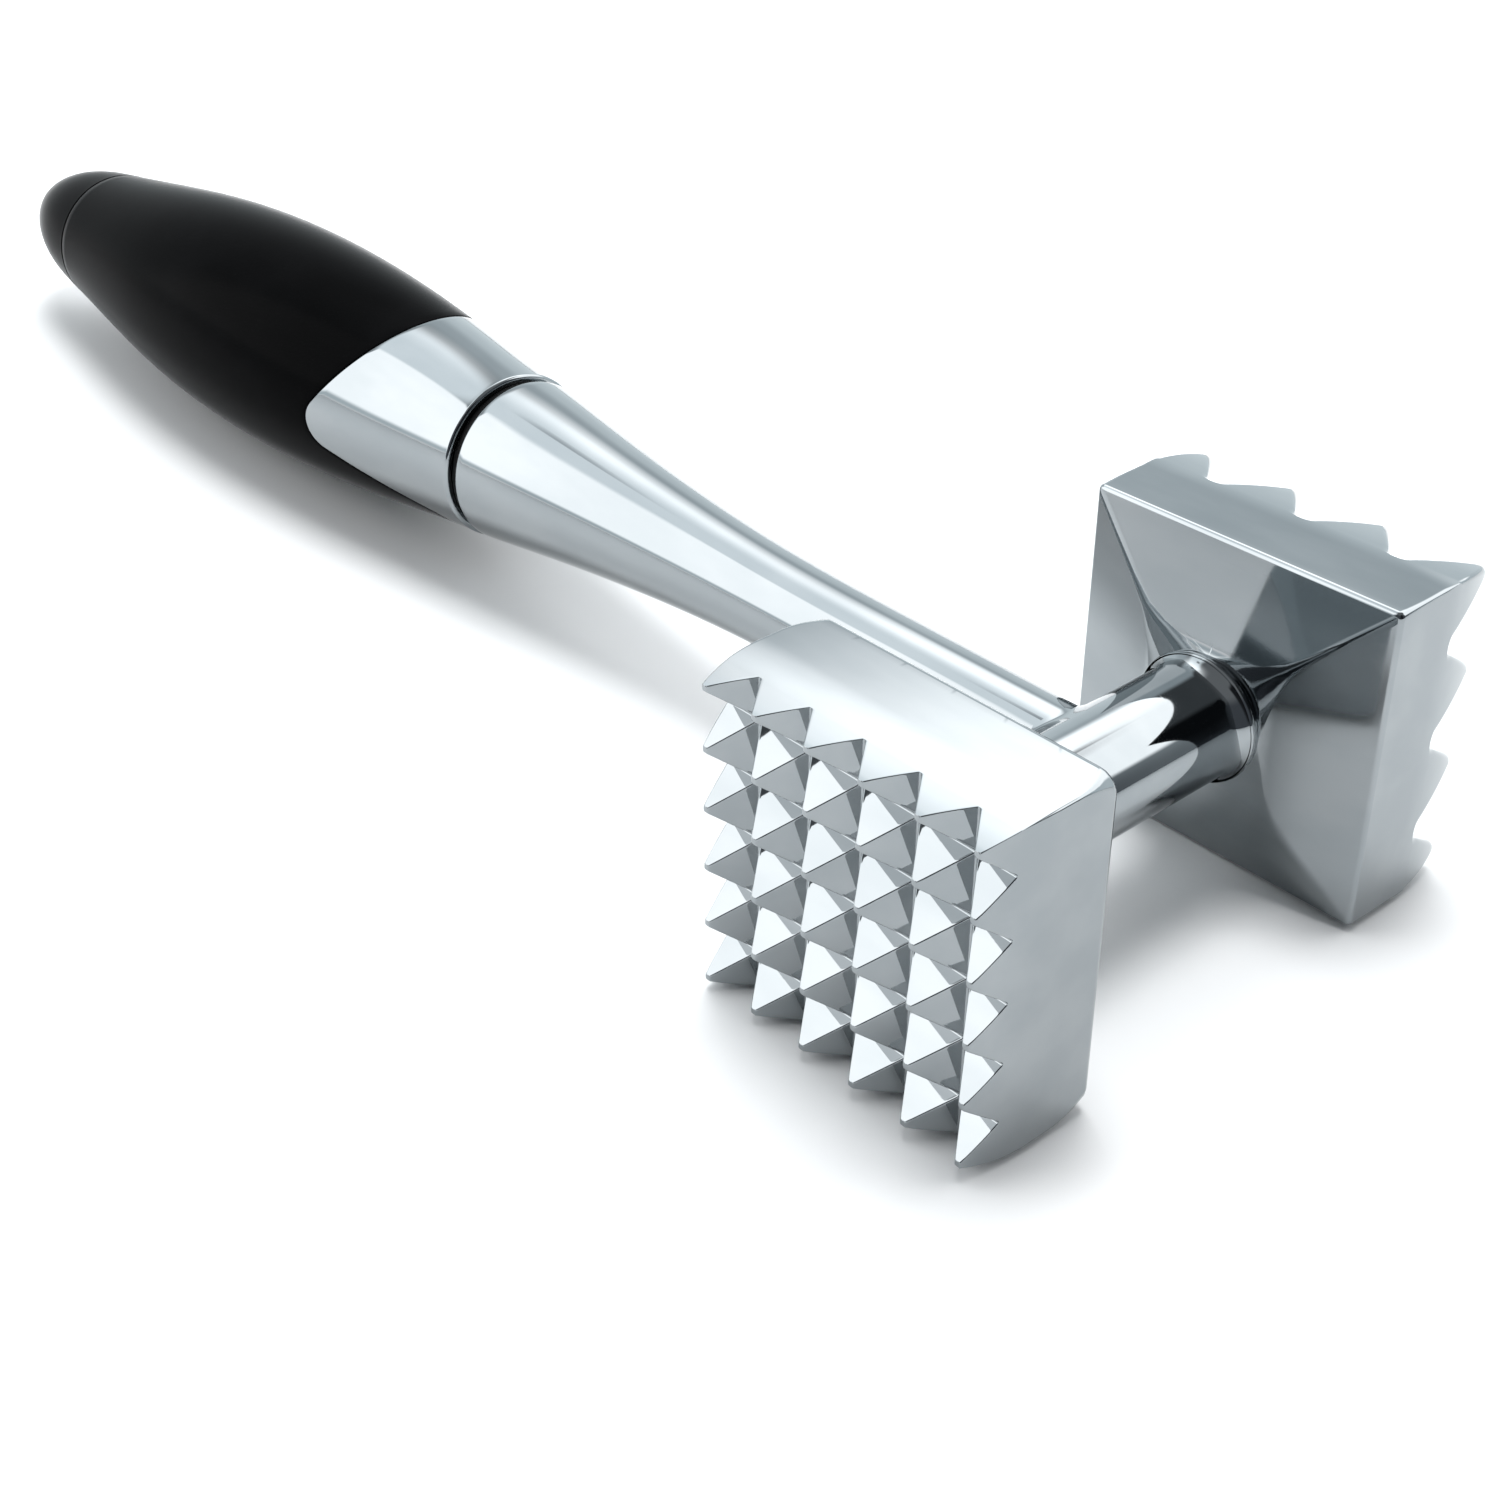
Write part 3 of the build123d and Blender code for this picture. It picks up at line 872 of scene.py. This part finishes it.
def edge_line(rows):
    """The tongue's edge laid on the handle from top to bottom: (station, angle) and its normal."""
    seen = [(u, z / grip_radius(u)) for u, z in rounded_path(TONGUE)]
    inside = [(u, math.asin(s)) for u, s in seen if abs(s) < NEAR_CREST]
    line = np.array([(inside[0][0], math.pi / 2)] + inside + [(inside[-1][0], -math.pi / 2)])
    radii = np.array([grip_radius(u) for u in line[:, 0]])
    steps = np.hypot(np.diff(line[:, 0]), np.diff(line[:, 1]) * radii[1:])
    length = np.concatenate([[0], np.cumsum(steps)])
    even = np.linspace(0, length[-1], rows)
    u = np.interp(even, length, line[:, 0])
    turn = np.interp(even, length, line[:, 1])
    radius = np.array([grip_radius(v) for v in u])
    du, dv = np.gradient(u), np.gradient(turn) * radius
    scale = np.hypot(du, dv)
    du[0], du[-1] = 0, 0
    return u, turn, radius, -dv / scale, du / scale


edge_u, edge_turn, edge_radius, edge_nu, edge_nv = edge_line(150)
print(f"tongue edge: {len(edge_u)} rows a side, tip at station {edge_u.max():.1f}")


# %% Shells on both sides of that edge
ROLL = 0.22                # rounding of the two edges at the seam


def rolled(i, toward, gap):
    """Points over the rolled edge at row i, from the outside surface down into the seam."""
    points = []
    for t in np.linspace(90, 0, 6):
        inset = gap + ROLL * (1 - math.cos(math.radians(t)))
        shift = toward * inset
        u = edge_u[i] + edge_nu[i] * shift
        turn = edge_turn[i] + edge_nv[i] * shift / edge_radius[i]
        depth = ROLL * (1 - math.sin(math.radians(t)))
        points.append((u, turn, grip_radius(u) - depth))
    u, turn, _ = points[-1]
    return points, (u, turn, grip_radius(u) - WALL)


def ferrule_row(i):
    edge, inner = rolled(i, -1, 0.0)
    u_end, turn_end, _ = edge[0]
    row = [(FERRULE_START, turn_end, STUD_HOLE)]
    lip = arc((FERRULE_START + LIP_EDGE, LIP_RADIUS - LIP_EDGE), LIP_EDGE, 180, 94, 6)
    row += [(u, turn_end, r) for u, r in lip]
    for t in np.linspace(0, 1, 34)[:-1]:
        u = LIP_START[0] + (u_end - LIP_START[0]) * t
        row.append((u, turn_end, grip_radius(u)))
    row += edge + [inner]
    core = FERRULE_START + FRONT_WALL
    for t in np.linspace(0, 1, 8)[1:]:
        u = inner[0] + (core - inner[0]) * t
        row.append((u, turn_end, grip_radius(u) - WALL))
    return row + [(core, turn_end, STUD_HOLE)]


def sleeve_row(i):
    edge, inner = rolled(i, 1, SEAM)
    u_start, turn, _ = edge[0]
    row = [inner] + edge[::-1]
    end = CAP_START - ROLL
    for t in np.linspace(0, 1, 64)[1:]:
        u = u_start + (end - u_start) * t
        row.append((u, turn, grip_radius(u)))
    end_radius = grip_radius(CAP_START)
    for t in np.linspace(0, 90, 6)[1:]:
        turned_by = math.radians(t)
        drop = ROLL * (1 - math.cos(turned_by))
        row.append((end + ROLL * math.sin(turned_by), turn, end_radius - drop))
    row.append((CAP_START, turn, end_radius - WALL))
    for t in np.linspace(0, 1, 24)[1:-1]:
        u = CAP_START + (inner[0] - CAP_START) * t
        row.append((u, turn, grip_radius(u) - WALL))
    return row


def wrapped(name, row_at):
    """Closed shell from lengthwise rows: down one flank of the handle and up the other."""
    bm = bmesh.new()
    rows = [row_at(i) for i in range(len(edge_u))]
    mirrored = [[(u, math.pi - turn, r) for u, turn, r in row] for row in reversed(rows[1:-1])]
    rings = []
    for row in rows + mirrored:
        rings.append([bm.verts.new(on_axis(HANDLE, u, r, turn)) for u, turn, r in row])
    skin(bm, rings, closed=True)
    return made_piece(bm, name)


ferrule = wrapped("ferrule_shell", ferrule_row)
ferrule.data.materials.append(turned_chrome)
sleeve = wrapped("sleeve", sleeve_row)
sleeve.data.materials.append(sleeve_black)

# %% [markdown]
# ## End cap
#
# A separate moulding closes the grip behind the nut. It is the same flowing outside run down to a
# blunt nose, with a plug that snaps into the core's pocket, and again it is a lathe profile.

# %% End cap
CAP_SEAM = 0.15
CAP_PLUG = 7.0
PLUG_RADIUS = 6.6


def cap_profile():
    start = CAP_START + CAP_SEAM
    radius = grip_radius(start)
    profile = [(CAP_START - CAP_PLUG, 0), (CAP_START - CAP_PLUG, PLUG_RADIUS), (start, PLUG_RADIUS)]
    profile += arc((start + ROLL, radius - ROLL), ROLL, 180, 100, 5)
    beyond = [(u, r) for u, r in grip_curve if u > start + 2 * ROLL]
    return profile + beyond[:-1] + [(GRIP_END, 0)]


cap = turned("cap", HANDLE, cap_profile(), 128)
cap.data.materials.append(cap_black)

# %% [markdown]
# ## Joining the pieces to the frame
#
# Every visible piece rides on the one body of the mallet and stands for its CAD node, which stays
# behind it for collision. The inner pieces keep their CAD meshes and only take a finish.

# %% Ride, replace and finish
visible = {
    fine_block: ("fine_tooth_block", "head_chrome"),
    coarse_block: ("coarse_tooth_block", "head_chrome"),
    neck: ("cross_neck", "head_chrome"),
    stem: ("stem", "handle_chrome"),
    seal: ("seal_ring", "seal_rubber"),
    ferrule: ("ferrule", "handle_chrome"),
    sleeve: ("grip_sleeve", "grip_black"),
    cap: ("end_cap", "grip_black"),
}
for piece, (node, slot) in visible.items():
    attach(piece, "root")
    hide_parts(node)
inner = {
    "tie_stud": zinc_plate,
    "tang_rod": zinc_plate,
    "tang_washer": zinc_plate,
    "tang_nut": zinc_plate,
    "grip_core": grey_regrind,
}
for node, metal in inner.items():
    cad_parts[node].data.materials.clear()
    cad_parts[node].data.materials.append(metal)
print(len(visible), "pieces ride on root;", len(inner), "CAD nodes carry a finish")

# %% [markdown]
# ## Floor
#
# The mallet leans: it touches the table with the blocks' edges on the grip's side and with the
# belly of the grip. The frame keeps the head level, so here the table is tilted by about a degree
# instead, until it just touches the belly, and the contact shadows fall where they should.

# %% Pale floor through the three contacts
heel = fine_low[0]
under_grip = [(CENTRE[0] - along, CENTRE[2] - radius) for along, radius in grip_curve]
tilt = min(math.atan2(z, heel - x) for x, z in under_grip)
FLOOR_SIZE = 1.6           # half the side, in metres
DULL_WHITE = (0.860, 0.875, 0.885, 1)
CLEAN_WHITE = (0.875, 0.885, 0.890, 1)


def floor_paint(g):
    cloud = g.noise(180, 2)
    return {
        "Base Color": g.mix(cloud, DULL_WHITE, CLEAN_WHITE),
        "Roughness": 0.8,
        "Specular IOR Level": 0.1,
    }


bm = bmesh.new()
bmesh.ops.create_grid(bm, x_segments=1, y_segments=1, size=FLOOR_SIZE)
bm.transform(Matrix.Translation((heel * MM, 0, 0)) @ Matrix.Rotation(tilt, 4, "Y"))
floor_mesh = bpy.data.meshes.new("floor")
bm.to_mesh(floor_mesh)
bm.free()
floor = bpy.data.objects.new("floor", floor_mesh)
bpy.context.scene.collection.objects.link(floor)
floor.data.materials.append(material("floor_paint", floor_paint))
print(f"floor tilted {math.degrees(tilt):.2f} degrees")

# %% [markdown]
# ## Light
#
# Chrome shows the room more than it shows itself, so the studio is built for the reflections: pale
# walls, a dark side behind the camera, white windows beside the grip and behind the head, and a few
# dark gaps that give the silver its contrast. The world paints all of these by direction. A card
# close above the head is different: it is near enough that its reflection fades across the flat
# top of a block, as a real softbox does. Two lamps that the chrome doesn't show light the floor and
# make the soft shadow under the mallet.

# %% A studio painted by direction
STUDIO_LEVEL = 1.17
NEAR_WALL = (0.10, 0.11, 0.125, 1)
LOW_WALL = (0.98, 1.08, 1.12, 1)
HIGH_WALL = (0.76, 0.84, 0.88, 1)
CEILING = (0.25, 0.26, 0.27, 1)
PANELS = (  # azimuth, half width, lowest and highest elevation, softness, colour
    (180, 42, 45, 64, 4.0, (1.65, 1.75, 1.80, 1)),    # skylight over the grip
    (175, 5, 57, 62, 1.5, (0.40, 0.43, 0.46, 1)),     # bar across it
    (-137, 19, 5, 52, 2.0, (2.60, 2.60, 2.60, 1)),    # window on the fine block's side
    (80, 36, 21, 50, 3.0, (2.50, 2.50, 2.50, 1)),     # window behind the coarse block
    (100, 4, 48, 54, 1.5, (0.30, 0.30, 0.30, 1)),     # gap above it
    (-130, 40, -30, 1, 1.0, (1.40, 1.40, 1.40, 1)),   # horizon under the first window
    (-37, 25, 2, 60, 4.0, (0.020, 0.022, 0.025, 1)),  # black flag beside the camera
)


def studio(world):
    """World colour by azimuth, from +X towards +Y, and by elevation."""
    g = Graph(world.node_tree)
    x, y, z = g.parts(g.node("ShaderNodeTexCoord", output="Generated"))
    azimuth = g.math("ARCTAN2", y, x)
    elevation = g.math("ARCSINE", z) * math.degrees(1)

    def facing(centre):
        """Cosine of the angle from an azimuth, which has no seam behind the studio."""
        return g.math("COSINE", azimuth - math.radians(centre))

    def panel(centre, reach, low, high, soft):
        """Soft-edged mask of a panel about an azimuth, between two elevations."""
        near, far = (math.cos(math.radians(reach + edge)) for edge in (-soft, soft))
        above = elevation.smooth(low - soft, low + soft)
        below = 1 - elevation.smooth(high - soft, high + soft)
        return facing(centre).smooth(far, near) * (above * below)

    wall = g.mix(elevation.smooth(18, 29), LOW_WALL, HIGH_WALL)
    colour = g.mix(facing(147).smooth(-0.35, 0.05), NEAR_WALL, wall)
    colour = g.mix(elevation.smooth(32, 50), colour, CEILING)
    for *place, paint in PANELS:
        colour = g.mix(panel(*place), colour, paint)
    background = g.node("ShaderNodeBackground", None, {"Color": colour, "Strength": STUDIO_LEVEL})
    g.node("ShaderNodeOutputWorld", None, {"Surface": background})


world = bpy.data.worlds.new("studio")
world.use_nodes = True
studio(world)
bpy.context.scene.world = world
print("world:", len(world.node_tree.nodes), "nodes")


# %% Card and lamps
def softbox(name, low, high, height, feather, strength):
    """White card overhead between two corners in metres, with its edges faded to clear."""
    bm = bmesh.new()
    corners = [(low[0], low[1]), (low[0], high[1]), (high[0], high[1]), (high[0], low[1])]
    bm.faces.new([bm.verts.new((x, y, height)) for x, y in corners])
    mesh = bpy.data.meshes.new(name)
    bm.to_mesh(mesh)
    bm.free()
    card = bpy.data.objects.new(name, mesh)
    bpy.context.scene.collection.objects.link(card)
    paint = bpy.data.materials.new(name)
    paint.use_nodes = True
    g = Graph(paint.node_tree)
    place = g.parts(g.node("ShaderNodeTexCoord", output="Object"))
    mask = 1.0
    for value, start, end in zip(place, low, high):
        mask = value.smooth(start, start + feather) * (1 - value.smooth(end - feather, end)) * mask
    light = g.node("ShaderNodeEmission", None, {"Color": (1, 1, 1, 1), "Strength": strength})
    clear = g.node("ShaderNodeBsdfTransparent")
    faded = g.node("ShaderNodeMixShader", None, {0: mask, 1: clear, 2: light})
    g.node("ShaderNodeOutputMaterial", None, {"Surface": faded})
    mesh.materials.append(paint)
    card.visible_camera = False
    card.visible_shadow = False


def lamp(name, place, aim, size, power):
    """Square lamp that lights the floor from above; the chrome does not show it."""
    light = bpy.data.lights.new(name, "AREA")
    light.size = size
    light.energy = power
    holder = bpy.data.objects.new(name, light)
    holder.location = place
    holder.rotation_euler = (Vector(aim) - Vector(place)).to_track_quat("-Z", "Y").to_euler()
    holder.visible_glossy = False
    bpy.context.scene.collection.objects.link(holder)


# Places and sizes in metres, power in watts.
softbox("ceiling", (-0.53, 0.0), (0.12, 0.78), 0.5, 0.30, 3.85)
lamp("key", (0.04, 0.07, 0.90), (0.075, 0.0, 0.0), 0.36, 6.2)
lamp("fill", (-0.60, -1.00, 0.70), (-0.60, -1.00, 0.0), 0.6, 2.0)
print("card and lamps ready")

# %% [markdown]
# ## Camera
#
# The camera stands off the corner of the fine block and looks down across the head and along the
# handle, close enough for strong perspective. It is placed by azimuth, elevation, roll and distance
# about a point beside the handle, as a tripod head would be, and a small lens shift sets the frame.

# %% Camera from angles and distance
AZIMUTH, ELEVATION, ROLL_ANGLE = 52.433, 30.438, -0.036
DISTANCE = 298.77
AIM = CENTRE + np.array((-66.13, -21.36, 0.0))
SENSOR = 36.0
LENS = 52.75
SHIFT = (0.0917, -0.0826)

az, el = math.radians(AZIMUTH), math.radians(ELEVATION)
back = Vector((math.sin(az) * math.cos(el), -math.cos(az) * math.cos(el), math.sin(el)))
right = Vector((0, 0, 1)).cross(back).normalized()
up = back.cross(right)
cos_roll, sin_roll = math.cos(ROLL_ANGLE), math.sin(ROLL_ANGLE)
axes = (cos_roll * right + sin_roll * up, cos_roll * up - sin_roll * right, back)
lens = bpy.data.cameras.new("camera")
lens.sensor_width = SENSOR
lens.lens = LENS
lens.shift_x, lens.shift_y = SHIFT
lens.clip_start = 0.01
camera = bpy.data.objects.new("camera", lens)
stand = Matrix.Translation((Vector(AIM) + back * DISTANCE) * MM)
camera.matrix_world = stand @ Matrix(axes).transposed().to_4x4()
bpy.context.scene.collection.objects.link(camera)
bpy.context.scene.camera = camera
bpy.context.scene.view_settings.view_transform = "Standard"
print("camera at", [round(c, 4) for c in camera.location])
